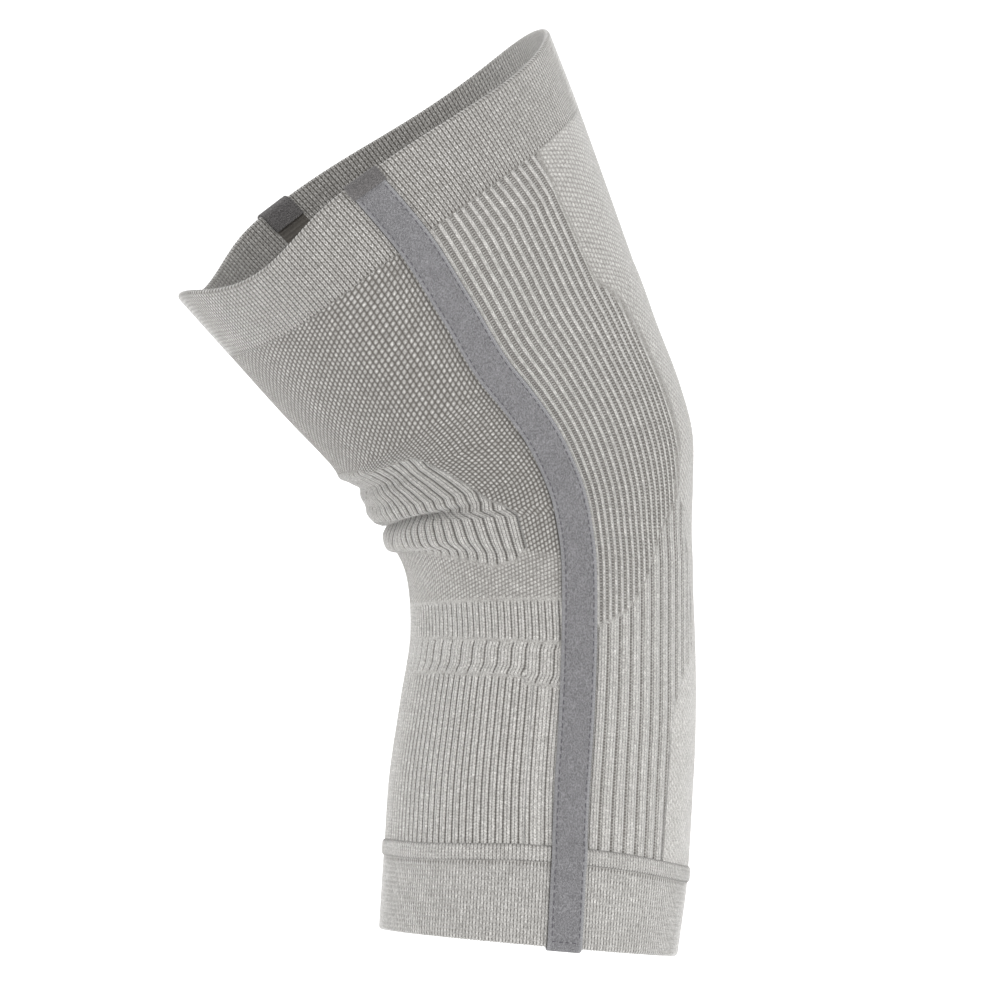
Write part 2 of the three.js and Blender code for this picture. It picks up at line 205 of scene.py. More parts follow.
class KnitSizes(PropertyGroup):
    """Counts and relief of the knit"""

    wales_front: count_prop("Front wales", "Wales from the tape to the front's middle", 70)
    wales_back: count_prop("Back wales", "Wales from the tape to the back's middle", 55)
    course: length_prop("Course", "Height of one row of loops at the thigh", 0.00104)
    course_shin: length_prop("Shin course", "Height of one row of loops at the shin", 0.00117)
    cuff_course: length_prop("Cuff course", "Height of one row of loops in a cuff", 0.00175)
    moss_rise: length_prop("Moss rise", "Relief of the moss stitch", 0.00030)
    comb_rise: length_prop("Plain rise", "Relief of the plain front panel", 0.00010)
    cuff_rise: length_prop("Cuff rise", "Relief of a cuff's wales", 0.00022)
    row: length_prop("Row", "Distance between two rows of the mesh", 0.00060)


class SleeveColours(PropertyGroup):
    """Colours of the yarns and the tape"""

    yarn: colour_prop("Yarn", "Light yarn of the knit", (0.83, 0.815, 0.787))
    gap: colour_prop("Gap", "Shade between the loops", (0.082, 0.073, 0.062))
    tape: colour_prop("Tape", "Velour of the side tape", (0.225, 0.222, 0.232))
    tape_edge: colour_prop("Tape edge", "Woven edge of the side tape", (0.36, 0.36, 0.372))
    cap: colour_prop("Cap", "Cap on the tape's upper end", (0.145, 0.138, 0.138))
    thread: colour_prop("Thread", "Sewing thread", (0.105, 0.10, 0.115))


class StageSizes(PropertyGroup):
    """Camera, light and floor"""

    azimuth: angle_prop("Azimuth", "Camera's angle round the sleeve", -15)
    elevation: angle_prop("Elevation", "Camera's angle over the horizon", -1.5)
    distance: length_prop("Distance", "Camera's distance from its target", 2.3, high=10.0)
    lens: FloatProperty(
        name="Lens", description="Focal length in millimetres", default=213.95, unit="CAMERA"
    )
    target_right: length_prop("Target right", "Target right of the origin", -0.02012, low=-1.0)
    target_up: length_prop("Target up", "Target above the origin", -0.0184, low=-1.0)
    floor_drop: length_prop("Floor drop", "Depth of the floor under the origin", 0.32)
    light: FloatProperty(name="Light", description="Strength of the soft lights", default=1.0, min=0.0)


def smooth(start, end, value):
    """Smooth step from 0 at start to 1 at end."""
    t = np.clip((value - start) / (end - start), 0.0, 1.0)
    return t * t * (3 - 2 * t)


def step_over(value):
    """Share from 0 to 1 as a value in millimetres passes 0."""
    return smooth(-BORDER_SOFT, BORDER_SOFT, value)


def wave(value):
    """Cosine wave from 0 at whole numbers to 1 between them."""
    return 0.5 - 0.5 * np.cos(2 * np.pi * value)


def paired(first, second):
    """Two arrays side by side in a last axis, such as the coordinates of a map."""
    return np.stack(np.broadcast_arrays(first, second), -1)


def line_at(line, at):
    """Value of a border line at a position along it."""
    points = np.array(line, float)
    return np.interp(at, points[:, 0], points[:, 1])


class SleeveForm:
    """The sleeve's smooth surface, as tables over the distance and the length round the outline."""

    STEP = 0.0005  # distance between two rows of a table
    SPOTS = 2401  # its columns, from the front's middle to the back's
    TURN = 721  # points on an outline before they are spaced evenly
    MARGIN = 0.02  # how far the tables go on past both ends
    REACH = 0.0012  # how far off the points lie that give a point its normal

    def __init__(self, sizes):
        self.sizes = sizes
        self.bend = sizes.bend_radius * sizes.flexion
        self.length = sizes.shin_length + self.bend + sizes.thigh_length
        self.joins = (0, sizes.shin_length, sizes.shin_length + self.bend, self.length)
        self.lower_end = sizes.lower_cuff + SEAM
        self.knit_start = self.lower_end + sizes.welt_height + SEAM
        self.knit_end = self.length - sizes.upper_cuff - SEAM
        self.rows = np.arange(-self.MARGIN, self.length + self.MARGIN, self.STEP)
        angle = np.linspace(0, math.pi, self.TURN)
        cosine, sine = np.cos(angle)[None], np.clip(np.sin(angle), 0, 1)[None]
        column = {name: self.column(i, self.rows)[:, None] for i, name in enumerate(SECTION_COLUMNS) if i}
        power = 2 / column["roundness"]
        reach = np.where(cosine > 0, column["front"], column["back"]) * sizes.knee_depth
        forward = np.sign(cosine) * np.abs(cosine) ** power * reach
        side = column["breadth"] * sizes.knee_breadth / 2 * sine**power
        steps = np.hypot(np.diff(forward, axis=1), np.diff(side, axis=1))
        along = np.concatenate([np.zeros((len(self.rows), 1)), np.cumsum(steps, 1)], 1)
        tape = column["tape"][:, 0] * sizes.knee_depth
        self.total = along[:, -1]
        self.tape_middle = np.array([np.interp(-t, -f, a) for t, f, a in zip(tape, forward, along)])
        share = np.linspace(0, 1, self.SPOTS)
        self.forward = np.array([np.interp(share * t, a, f) for t, a, f in zip(self.total, along, forward)])
        self.side = np.array([np.interp(share * t, a, w) for t, a, w in zip(self.total, along, side)])

    def distance_at(self, station):
        """Distance from the lower edge, for a station: the shin to 1, the bend to 2, the thigh to 3."""
        return np.interp(station, (0, 1, 2, 3), self.joins)

    def station_at(self, distance):
        """Station, for a distance from the lower edge."""
        return np.interp(distance, self.joins, (0, 1, 2, 3))

    def column(self, index, distance):
        """One column of the sections along the sleeve, on a smooth curve through its rows."""
        at = self.distance_at(np.array([row[0] for row in SECTIONS]))
        value = np.array([row[index] for row in SECTIONS])
        span = np.diff(at)
        rise = np.diff(value) / span
        slope = np.empty_like(value)
        slope[0], slope[-1] = rise[0], rise[-1]
        slope[1:-1] = (rise[:-1] * span[1:] + rise[1:] * span[:-1]) / (span[:-1] + span[1:])
        distance = np.clip(distance, at[0], at[-1])
        row = np.clip(np.searchsorted(at, distance, side="right") - 1, 0, len(span) - 1)
        t = (distance - at[row]) / span[row]
        return (
            (2 * t**3 - 3 * t**2 + 1) * value[row]
            + (t**3 - 2 * t**2 + t) * span[row] * slope[row]
            + (3 * t**2 - 2 * t**3) * value[row + 1]
            + (t**3 - t**2) * span[row] * slope[row + 1]
        )

    def axis(self, distance):
        """Point of the axis and the forward direction there."""
        sizes = self.sizes
        beyond = distance - sizes.shin_length
        lean = sizes.shin_lean - np.clip(beyond, 0, self.bend) / sizes.bend_radius
        middle = sizes.shin_lean - sizes.flexion / 2
        straight = np.minimum(beyond, 0) + np.maximum(beyond - self.bend, 0)
        x = sizes.bend_radius * (np.cos(lean) - math.cos(middle)) + np.sin(lean) * straight
        z = sizes.bend_radius * (math.sin(middle) - np.sin(lean)) + np.cos(lean) * straight
        return x, z, np.cos(lean), -np.sin(lean)

    def round_at(self, distance, place):
        """Length round the outline from the front's middle, for a place."""
        middle = np.interp(distance, self.rows, self.tape_middle)
        total = np.interp(distance, self.rows, self.total)
        half = self.sizes.tape_width / 2
        before = place * (middle - half)
        under = middle - half + (place - 1) * 2 * half
        behind = middle + half + (place - 2) * (total - middle - half)
        return np.where(place < 1, before, np.where(place < 2, under, behind)), total

    def sag(self, distance, place):
        """How far the cloth hangs down towards the upper edge, between the tapes."""
        front = self.sizes.sag_front * np.sin(np.pi * place) ** 2
        back = self.sizes.sag_back * np.sin(np.pi * (place - 2)) ** 2
        share = smooth(self.length - self.sizes.sag_reach, self.length, distance)
        return share * np.where(place < 1, front, np.where(place > 2, back, 0))

    def fold(self, distance, place):
        """How far the folds lift or sink the knit."""
        station = self.station_at(distance)
        back = np.clip(place - 2, 0, 1)
        lift = 0
        for row in FOLDS:
            made = dict(zip(FOLD_COLUMNS, row))
            share = smooth(made["reach"], FOLD_FULL, back) * self.sizes.knee_depth
            off = (station - made["station"] + made["slant"] * back) / made["spread"]
            lift = lift + made["rise"] * share * np.exp(-(off**2))
        return lift

    def plain(self, distance, place, side, across):
        """Point of the surface before its folds, moved round by a length."""
        low = distance - self.sag(distance, place)
        around, total = self.round_at(low, place)
        around = around + across
        mirrored = (around < 0) | (around > total)
        within = np.where(around < 0, -around, np.where(around > total, 2 * total - around, around))
        i = np.clip((low - self.rows[0]) / self.STEP, 0, len(self.rows) - 1.001)
        j = np.clip(within / total * (self.SPOTS - 1), 0, self.SPOTS - 1.001)
        i0, j0 = i.astype(int), j.astype(int)
        a, b = i - i0, j - j0

        def look(table):
            near = table[i0, j0] * (1 - a) + table[i0 + 1, j0] * a
            far = table[i0, j0 + 1] * (1 - a) + table[i0 + 1, j0 + 1] * a
            return near * (1 - b) + far * b

        forward, out = look(self.forward), look(self.side)
        out = np.where(mirrored, -out, out)
        x, z, forward_x, forward_z = self.axis(low)
        return np.stack([x + forward * forward_x, side * out, z + forward * forward_z], -1)

    def surface(self, distance, place, side, height=0.0, across=0.0):
        """Points at a height over the sleeve's outer surface."""
        distance, place, side, height, across = np.broadcast_arrays(distance, place, side, height, across)

        def near(on=0.0, off=0.0):
            return self.plain(distance + on, place, side, across + off)

        normal = np.cross(near(self.REACH) - near(-self.REACH), near(0, self.REACH) - near(0, -self.REACH))
        normal *= (np.where(side > 0, -1, 1) / np.linalg.norm(normal, axis=-1))[..., None]
        lift = height + self.fold(distance, place)
        return near() + normal * lift[..., None]


class Knit:
    """The knit's pattern: the relief, the shade and the kind of loop at each point."""

    MARGIN = 0.01  # how far the table of courses goes on past both ends
    TIGHTER = (0.09, 0.21)  # distances between which the courses go from the shin's height to the thigh's

    def __init__(self, sizes, form):
        self.sizes = sizes
        self.at = np.linspace(-self.MARGIN, form.length + self.MARGIN, 700)
        share = smooth(*self.TIGHTER, self.at)
        pitch = sizes.course_shin + (sizes.course - sizes.course_shin) * share
        self.count = np.concatenate([[0], np.cumsum(np.diff(self.at) / pitch[1:])])

    def course(self, distance):
        """Courses from the lower edge, for a distance."""
        return np.interp(distance, self.at, self.count)

    def moss(self, wale, course, twill):
        """Loops in alternate rows on alternate wales, or in slanting rows for a twill, from 0 to 1."""
        column = np.floor(wale)
        even = wave(course / 2 + 0.5 * (column % 2))
        slanted = wave(course * TWILL_COURSE + TWILL_WALE * column)
        return wave(wale) * (even + (slanted - even) * twill)

    def back(self, wale, distance):
        """Pattern of the panels behind the tape."""
        far = distance / MM
        bound = {name: line_at(line, wale) for name, line in BACK_BORDERS.items()}
        turned = wale - line_at(BACK_SWING, far) * (0.35 + 0.65 * smooth(0, 24, wale))
        lean = 0.6 * np.clip((bound["narrow_ribs_top"] - far) / 13, 0, 1)
        bow = 0.5 * np.sin(np.pi * np.clip((far - 38) / 62, 0, 1)) * np.clip(1 - wale / 30, 0.25, 1)
        hook = 0.9 * smooth(4.5, 0.5, far - bound["calf_ribs_top"])
        hook = hook - 0.45 * smooth(3.5, 0.5, bound["wide_ribs_top"] - far)
        below = step_over(bound["calf_ribs_top"] - far)
        beside = 1 - smooth(7.0, 7.4, wale)
        panels = {
            "fold": (
                turned,
                step_over(bound["fold_ribs_top"] - far)
                * step_over(far - bound["fold_ribs_bottom"])
                * smooth(8.7, 9.0, wale),
            ),
            "narrow": (
                wale + lean,
                step_over(bound["narrow_ribs_top"] - far) * step_over(far - bound["wide_ribs_top"]),
            ),
            "wide": (
                wale - hook,
                step_over(bound["wide_ribs_top"] - far) * step_over(far - bound["calf_ribs_top"]),
            ),
            "calf": (wale - bow, below * (1 - beside)),
            "calf_plain": (wale - bow, below * beside),
        }
        twill = 1 - smooth(147, 149, far)
        return self.pattern(turned, distance, panels, twill, self.sizes.moss_rise, 0.5)

    def front(self, wale, distance):
        """Pattern of the panels in front of the tape."""
        far = distance / MM
        bound = {name: line_at(line, wale) for name, line in FRONT_BORDERS.items()}
        turned = wale - line_at(FRONT_SWING, far) * smooth(2, 20, wale)
        fade = 0.5 + 1.2 * (1 - smooth(225, 245, far))
        past = (wale - line_at(FRONT_RIB_REACH, far)) / fade
        panels = {
            "shin": (
                turned,
                step_over(bound["shin_ribs_top"] - far)
                * step_over(far - bound["shin_ribs_bottom"])
                * (1 - smooth(43, 44, wale)),
            ),
            "thigh": (turned, step_over(far - bound["shin_ribs_top"]) * (1 - smooth(-1, 1, past))),
        }
        return self.pattern(turned, distance, panels, 0 * far, self.sizes.comb_rise, 0.19)

    def panels(self, ring, distance):
        """Pattern at each point of a grid: the panels in front and behind, and flat knit under the tape."""
        values = {}
        for part, pick in ((self.front, ring.place <= 1), (self.back, ring.place >= 2)):
            far = distance[:, pick]
            for name, value in part(np.broadcast_to(ring.wale[pick], far.shape), far).items():
                whole = values.setdefault(name, np.zeros(distance.shape + value.shape[2:]))
                whole[:, pick] = value
        return values

    def pattern(self, wale, distance, panels, twill, rise, depth):
        """Relief, map and values of some panels of ribs, given as (wale, share), and of the moss or twill
        between them, with its relief and how much contrast its loops have."""
        course = self.course(distance)
        rest = np.clip(1 - sum(share for _, share in panels.values()), 0, 1)
        dots = self.moss(wale, course, twill) ** 0.6
        relief = rest * (dots - 0.7) * rise
        rib = {"place": 0.5, "step": 2, "line": 0, "dark": 0, "purl": 0}
        rib = {name: np.full(relief.shape, float(value)) for name, value in rib.items()}
        lead = rest
        column = wale
        for name, (at, share) in panels.items():
            made = dict(zip(RIB_COLUMNS, RIBS[name]))
            apart = (at - made["first"]) / made["step"]
            off = np.abs(apart - np.round(apart)) * made["step"]
            dip = np.exp(-((off / made["width"]) ** 2))
            crown = 0.20 * wave(apart)
            relief = relief + share * MM * made["depth"] * (crown - 0.2 - dip)
            leads = share > lead
            column = np.where(leads, apart * made["wales"] + 0.5 * made["purl"], column)
            rib["place"] = np.where(leads, apart, rib["place"])
            for value in ("step", "line"):
                rib[value] = np.where(leads, made[value], rib[value])
            # dark is how deep the painted shade in a groove's line is
            for value in ("dark", "purl"):
                rib[value] = rib[value] + smooth(0.93, 1.0, share) * made[value]
            lead = np.maximum(lead, share)
        return {
            "uv": paired(column, course) / MAP_LOOPS,
            "relief": relief,
            "moss": rest,
            "twill": twill * rest,
            "calm": smooth(0.85, 1.0, lead),
            "plain": rest * (depth - 0.12 * twill),
            # Painted shade: stretch darkens the loops from the knee up.
            "stretch": smooth(0.11, 0.19, distance),
            **{f"rib_{name}": value for name, value in rib.items()},
        }


def grid_faces(rows, columns, rows_close=False, columns_close=False):
    """Quads between the rows and columns of a grid of vertices, either of which may close to a ring."""
    i = np.arange(rows if rows_close else rows - 1)
    j = np.arange(columns if columns_close else columns - 1)
    i, j = np.meshgrid(i, j, indexing="ij")
    up, on = (i + 1) % rows, (j + 1) % columns
    row, row_up = i * columns, up * columns
    return np.stack([row + j, row + on, row_up + on, row_up + j], -1).reshape(-1, 4)


def strip_faces(fine, coarse, share):
    """Faces between a fine line of vertices and a coarse one with a vertex for each share of the fine."""
    steps = np.arange(len(coarse) - 1)
    fan = [fine[steps * share + k] for k in range(share + 1)]
    return np.stack([*fan, coarse[steps + 1], coarse[steps]], -1)


def points_inward(vertices, faces):
    """Whether the four-sided faces of a shell look in at its middle."""
    a, b, c, d = (vertices[faces[:, k]] for k in range(4))
    return (np.cross(c - a, d - b) * (a + c - 2 * vertices.mean(0))).sum() < 0


def make_object(name, vertices, faces, materials, inner=(), angle=72, turned=False):
    """A mesh object from groups of faces, shaded smooth but for sharp edges. Groups named inner get the
    second material. The faces are turned outwards, unless turned says that they already are."""
    groups = list(faces)
    if not turned and points_inward(vertices, groups[0]):
        groups = [group[:, ::-1] for group in groups]
    total = np.concatenate([np.full(len(group), group.shape[1]) for group in groups])
    start = np.concatenate([[0], np.cumsum(total)[:-1]])
    mesh = bpy.data.meshes.new(name)
    mesh.vertices.add(len(vertices))
    mesh.vertices.foreach_set("co", np.ascontiguousarray(vertices, np.float32).ravel())
    mesh.loops.add(int(total.sum()))
    corners = np.concatenate([group.ravel() for group in groups])
    mesh.loops.foreach_set("vertex_index", corners.astype(np.int32))
    mesh.polygons.add(len(total))
    mesh.polygons.foreach_set("loop_start", start.astype(np.int32))
    mesh.polygons.foreach_set("loop_total", total.astype(np.int32))
    for material in materials:
        mesh.materials.append(material)
    slots = np.concatenate([np.full(len(group), int(i in inner)) for i, group in enumerate(groups)])
    mesh.polygons.foreach_set("material_index", slots.astype(np.int32))
    mesh.update(calc_edges=True)
    if mesh.validate():
        raise RuntimeError(f"the mesh of {name} had faces that Blender took out")
    obj = bpy.data.objects.new(name, mesh)
    bpy.context.collection.objects.link(obj)
    bpy.ops.object.select_all(action="DESELECT")
    obj.select_set(True)
    bpy.context.view_layer.objects.active = obj
    bpy.ops.object.shade_smooth_by_angle(angle=math.radians(angle))
    return obj


def set_values(obj, uv, **values):
    """Gives a mesh its knit map and its values at each vertex."""
    mesh = obj.data
    corner = np.empty(len(mesh.loops), np.int32)
    mesh.loops.foreach_get("vertex_index", corner)
    layer = mesh.uv_layers.new(name="knit_map")
    layer.data.foreach_set("uv", np.ascontiguousarray(uv[corner], np.float32).ravel())
    for name, value in values.items():
        attribute = mesh.attributes.new(name, "FLOAT", "POINT")
        attribute.data.foreach_set("value", np.ascontiguousarray(value, np.float32))


class Value:
    """A number that changes over a surface. Operators on it add Math nodes to its material."""

    def __init__(self, finish, socket):
        self.finish = finish
        self.socket = socket

    def math(self, operation, *others, swapped=False):
        terms = [self, *others]
        if swapped:
            terms = terms[::-1]
        return self.finish.node("ShaderNodeMath", {"operation": operation}, dict(enumerate(terms)))

    def __add__(self, other):
        return self.math("ADD", other)

    __radd__ = __add__

    def __sub__(self, other):
        return self.math("SUBTRACT", other)

    def __rsub__(self, other):
        return self.math("SUBTRACT", other, swapped=True)

    def __mul__(self, other):
        return self.math("MULTIPLY", other)

    __rmul__ = __mul__

    def __truediv__(self, other):
        return self.math("DIVIDE", other)

    def __pow__(self, other):
        return self.math("POWER", other)

    def __mod__(self, other):
        return self.math("FLOORED_MODULO", other)

    def __abs__(self):
        return self.math("ABSOLUTE")

    def floor(self):
        return self.math("FLOOR")

    def fract(self):
        return self.math("FRACT")

    def wave(self):
        """Cosine wave from 0 at whole numbers to 1 between them."""
        return 0.5 - (self * (2 * math.pi)).math("COSINE") * 0.5

    def clamp(self):
        return self.finish.node("ShaderNodeClamp", {}, {"Value": self})

    def step(self, start, end):
        """Smooth step from 0 at start to 1 at end."""
        settings = {"interpolation_type": "SMOOTHSTEP"}
        return self.finish.node(
            "ShaderNodeMapRange", settings, {"Value": self, "From Min": start, "From Max": end}
        )

    def mix(self, low, high):
        """Number between low and high, by this share."""
        return low + (high - low) * self


class Finish:
    """A material with a Principled shader, and the ways to feed it."""

    def __init__(self, name, roughness, sheen=0.0):
        self.material = bpy.data.materials.new(name)
        self.material.use_nodes = True
        self.tree = self.material.node_tree
        self.shader = self.tree.nodes["Principled BSDF"]
        self.shader.inputs["Roughness"].default_value = roughness
        self.shader.inputs["Specular IOR Level"].default_value = 0.25
        self.shader.inputs["Sheen Weight"].default_value = sheen
        self.shader.inputs["Sheen Roughness"].default_value = 0.5

    def node(self, kind, settings=None, inputs=None, output=0):
        """Adds a node, sets its settings, then the values or links of its sockets."""
        node = self.tree.nodes.new(kind)
        for name, value in (settings or {}).items():
            setattr(node, name, value)
        for name, value in (inputs or {}).items():
            self.feed(self.socket(node.inputs, name), value)
        return Value(self, self.socket(node.outputs, output))

    @staticmethod
    def socket(sockets, name):
        """The socket with a number, or the enabled one with a name or identifier."""
        if isinstance(name, int):
            return sockets[name]
        return next(s for s in sockets if name in (s.identifier, s.name) and s.enabled)

    def feed(self, socket, value):
        """Links a value to a socket, or sets the socket's own number or colour."""
        if isinstance(value, Value):
            self.tree.links.new(value.socket, socket)
        elif hasattr(value, "__len__") and len(value) == 3 and socket.type == "RGBA":
            socket.default_value = (*value, 1)
        else:
            socket.default_value = value

    def attribute(self, name):
        """A value that set_values gave the piece."""
        return self.node("ShaderNodeAttribute", {"attribute_name": name}, output="Fac")

    def map(self):
        """The two coordinates of the piece's own map."""
        place = self.node("ShaderNodeUVMap", {"uv_map": "knit_map"})
        split = self.node("ShaderNodeSeparateXYZ", {}, {"Vector": place})
        outputs = split.socket.node.outputs
        return Value(self, outputs[0]), Value(self, outputs[1])

    def loops(self):
        """The wale and the course, from the piece's own map."""
        u, v = self.map()
        return u * MAP_LOOPS, v * MAP_LOOPS

    def noise(self, scale, detail=2.0, stretch=None):
        """Noise on the object's own coordinates, from 0 to 1."""
        place = self.node("ShaderNodeTexCoord", output="Object")
        if stretch:
            place = self.node("ShaderNodeMapping", {}, {"Vector": place, "Scale": stretch})
        inputs = {"Vector": place, "Scale": scale, "Detail": detail}
        return self.node("ShaderNodeTexNoise", {"noise_dimensions": "3D"}, inputs)

    def speckle(self, first, second):
        """A number from 0 to 1 that is the same for equal pairs of numbers."""
        place = self.node("ShaderNodeCombineXYZ", {}, {"X": first, "Y": second})
        return self.node("ShaderNodeTexWhiteNoise", {"noise_dimensions": "2D"}, {"Vector": place})

    def blend(self, share, low, high):
        """Colour between two colours, by a share."""
        settings = {"data_type": "RGBA", "blend_type": "MIX", "clamp_factor": True}
        inputs = {"Factor_Float": share, "A_Color": low, "B_Color": high}
        return self.node("ShaderNodeMix", settings, inputs, output="Result_Color")

    def finish(self, colour, height, depth):
        """Feeds the shader its colour and the bumps of a height from 0 to 1, given their depth."""
        self.feed(self.shader.inputs["Base Color"], colour)
        inputs = {"Strength": 1.0, "Distance": depth, "Height": height}
        bump = self.node("ShaderNodeBump", {}, inputs, output="Normal")
        self.feed(self.shader.inputs["Normal"], bump)
        return self.material


def yarn_colour(finish, shade, wale, course, colours):
    """Melange yarn: each loop has its own lightness, and light and dark fibres run through it."""
    loop = finish.speckle(wale.floor(), course.floor())
    fibre = finish.noise(2100.0).step(0.34, 0.66)
    fleck = finish.noise(900.0).step(0.35, 0.65)
    cloud = finish.noise(70.0)
    tone = (0.78 + 0.22 * loop) * (0.55 + 0.45 * fibre) * (0.80 + 0.20 * fleck) * (0.93 + 0.14 * cloud)
    # shade is painted shade: it blends the yarn towards the gap colour in the hollows between loops.
    return finish.blend((shade * tone).clamp(), tuple(colours.gap), tuple(colours.yarn))


def fuzzy_yarn(finish, shade, height, wale, course, colours):
    """Melange yarn in loops, with loose fibres over them."""
    colour = yarn_colour(finish, shade, wale, course, colours)
    fuzz = finish.noise(2600.0)
    return finish.finish(colour, height * 0.75 + fuzz * 0.25, 0.00060)


def loops_of(wale, course, slant=1.3):
    """Height of plain loops: two slanted legs to a wale, and pinholes between the wales."""
    off = abs(wale.fract() - 0.5)
    legs = (course - slant * off).wave()
    parting = 1 - off.step(0.0, 0.14)
    border = off.step(0.27, 0.5)
    return (0.74 + 0.26 * legs) * (1 - 0.16 * parting) * (1 - border * (0.99 - 0.36 * legs))


def knit_finish(colours):
    """Outside of the knit: V loops on the ribs, ladders in the purl grooves and moss between them."""
    finish = Finish("knit_outside", 0.95, sheen=0.6)
    wale, course = finish.loops()
    # stretch is a painted shade that darkens the knit from the knee up.
    moss, twill, plain, stretch, calm = (
        finish.attribute(name) for name in ("moss", "twill", "plain", "stretch", "calm")
    )
    place, step, line, dark, purl = (
        finish.attribute(f"rib_{name}") for name in ("place", "step", "line", "dark", "purl")
    )
    # Painted shade: a dark line down each rib's groove, rib_line wide and rib_dark deep.
    apart = abs((place + 0.5).fract() - 0.5) * step
    groove = 1 - apart.step(line * 0.35, line * 1.35 + 0.001)
    ladder = 0.22 + 0.70 * course.wave()
    ribbed = (groove * purl).mix(loops_of(wale, course), ladder)
    # The groove's painted shade is broken into dots, one to a course.
    groove = groove * (1 - 0.45 * course.wave())
    column = wale.floor()
    lean = (wale.fract() - 0.5) * 0.35
    even = course / 2 + lean + 0.5 * (column % 2)
    slanted = course * TWILL_COURSE + lean + TWILL_WALE * column
    grain = (wale.wave() * twill.mix(even.wave(), slanted.wave())) ** 0.5
    seed = finish.speckle(column, even.floor())
    grain = 1 - (1 - grain * (0.75 + 0.25 * seed)) * (0.35 + 1.3 * plain)
    height = calm.mix(0.46, moss.mix(ribbed, grain))
    # Painted shade from the loops' height darkens the hollows between them, and the grooves' lines.
    shade = (1 - dark * groove) * (0.04 + 0.96 * height ** (0.58 + 0.52 * stretch))
    return fuzzy_yarn(finish, shade, height, wale, course, colours)


def cuff_finish(colours):
    """Doubled cuff: plain jersey wales with dark lines of painted shade between them."""
    finish = Finish("knit_cuff", 0.95, sheen=0.6)
    wale, course = finish.loops()
    dark, stretch = finish.attribute("dark"), finish.attribute("stretch")
    height = loops_of(wale, course, slant=1.5)
    # stretch paints shade: the upper cuff's loops darker than the lower cuff's.
    shade = (1 - dark) * (0.04 + 0.96 * height ** (0.95 + 2.0 * stretch))
    return fuzzy_yarn(finish, shade, height, wale, course, colours)


def inside_finish(colours):
    """Inside of the knit: rows of purl bars, a little darker."""
    finish = Finish("knit_inside", 0.95, sheen=0.15)
    wale, course = finish.loops()
    bars = (course + 0.25 * wale.wave()).wave()
    height = bars * (0.6 + 0.4 * wale.wave())
    # Painted shade between the purl bars, from their height.
    colour = yarn_colour(finish, 0.2 + 0.7 * height, wale, course, colours)
    return finish.finish(colour, height, 0.00030)


def tape_finish(name, colour, edge):
    """Brushed velour of the tape, paler and ribbed at its woven edges. Its map is in metres."""
    finish = Finish(name, 0.9, sheen=0.18)
    u, v = finish.map()
    # edge is the woven edges' share, holding a painted highlight on the front edge.
    side = finish.attribute("edge")
    pile = finish.noise(2000.0, 3.0, stretch=(1.0, 1.0, 0.7)).step(0.25, 0.75)
    nap = finish.noise(260.0).step(0.25, 0.75)
    weave = (v * 900).wave() * 0.5 + (u * 1400).wave() * 0.5
    tone = (0.84 * pile + 0.16 * nap).clamp()
    velour = finish.blend(tone, [0.62 * c for c in colour], [1.40 * c for c in colour])
    woven = finish.blend(weave, [0.7 * c for c in edge], edge)
    height = side.mix(pile, weave)
    return finish.finish(finish.blend(side, velour, woven), height, 0.00045)


def thread_finish(colours):
    """Twisted sewing thread."""
    finish = Finish("sewing_thread", 0.7, sheen=0.2)
    ply = finish.noise(2200.0)
    dark = [0.75 * c for c in colours.thread]
    return finish.finish(finish.blend(ply, dark, colours.thread), ply, 0.0001)


def stage_finish():
    """Matt white of the studio's sweep."""
    finish = Finish("studio_white", 0.95)
    grain = finish.noise(6.0, 1.0)
    finish.shader.inputs["Emission Color"].default_value = (1, 1, 1, 1)
    finish.shader.inputs["Emission Strength"].default_value = 0.35
    return finish.finish(finish.blend(grain, (0.90, 0.90, 0.90), (0.92, 0.92, 0.92)), grain, 0.0001)


class Ring:
    """Columns of vertices round the sleeve: from front to back on one side, and back on the other."""

    UNDER = (1.25, 1.5, 1.75)  # places under the tape

    def __init__(self, front, back, fine, plain=None):
        """Takes the wales in front and behind, how many columns there are to a wale, and the wale in front
        from which there are only two."""
        reach = front if plain is None else plain
        spread = np.arange(0, (front - reach) * 2) / 2
        wales = np.concatenate([front - spread, np.arange(reach * fine, -1, -1) / fine])
        half = np.concatenate([1 - wales / front, self.UNDER, 2 + np.arange(back * fine + 1) / fine / back])
        self.place = np.concatenate([half, half[-2:0:-1]])
        self.side = np.where(np.arange(len(self.place)) < len(half), -1.0, 1.0)
        ahead, behind = (1 - self.place) * front, (self.place - 2) * back
        self.wale = np.clip(np.where(self.place < 1.5, ahead, behind), 0, None)

    def share(self):
        """Share of the way from the tape to the middle of the front or back."""
        return np.clip(np.where(self.place < 1.5, 1 - self.place, self.place - 2), 0, 1)


def hem(start, end, wall, height, step, inner_step, turns=8):
    """Line round a hem at a height over the cloth, as distances from the hem and heights: it starts outside
    at the first distance, turns over the hem and ends inside at the second."""
    middle, reach = wall / 2, wall / 2 + height
    outside = np.linspace(start, middle, max(2, round((start - middle) / step) + 1))
    inside = np.linspace(middle, end, max(2, round((end - middle) / inner_step) + 1))
    turn = np.linspace(0, math.pi, turns + 1)[1:-1]
    distance = np.concatenate([outside, middle - reach * np.sin(turn), inside])
    heights = np.concatenate(
        [np.full(len(outside), height), reach * np.cos(turn) - middle, np.full(len(inside), -wall - height)]
    )
    return distance, heights


def lengths_along(distance, height):
    """Length along a line from its first point."""
    return np.concatenate([[0], np.cumsum(np.hypot(np.diff(distance), np.diff(height)))])


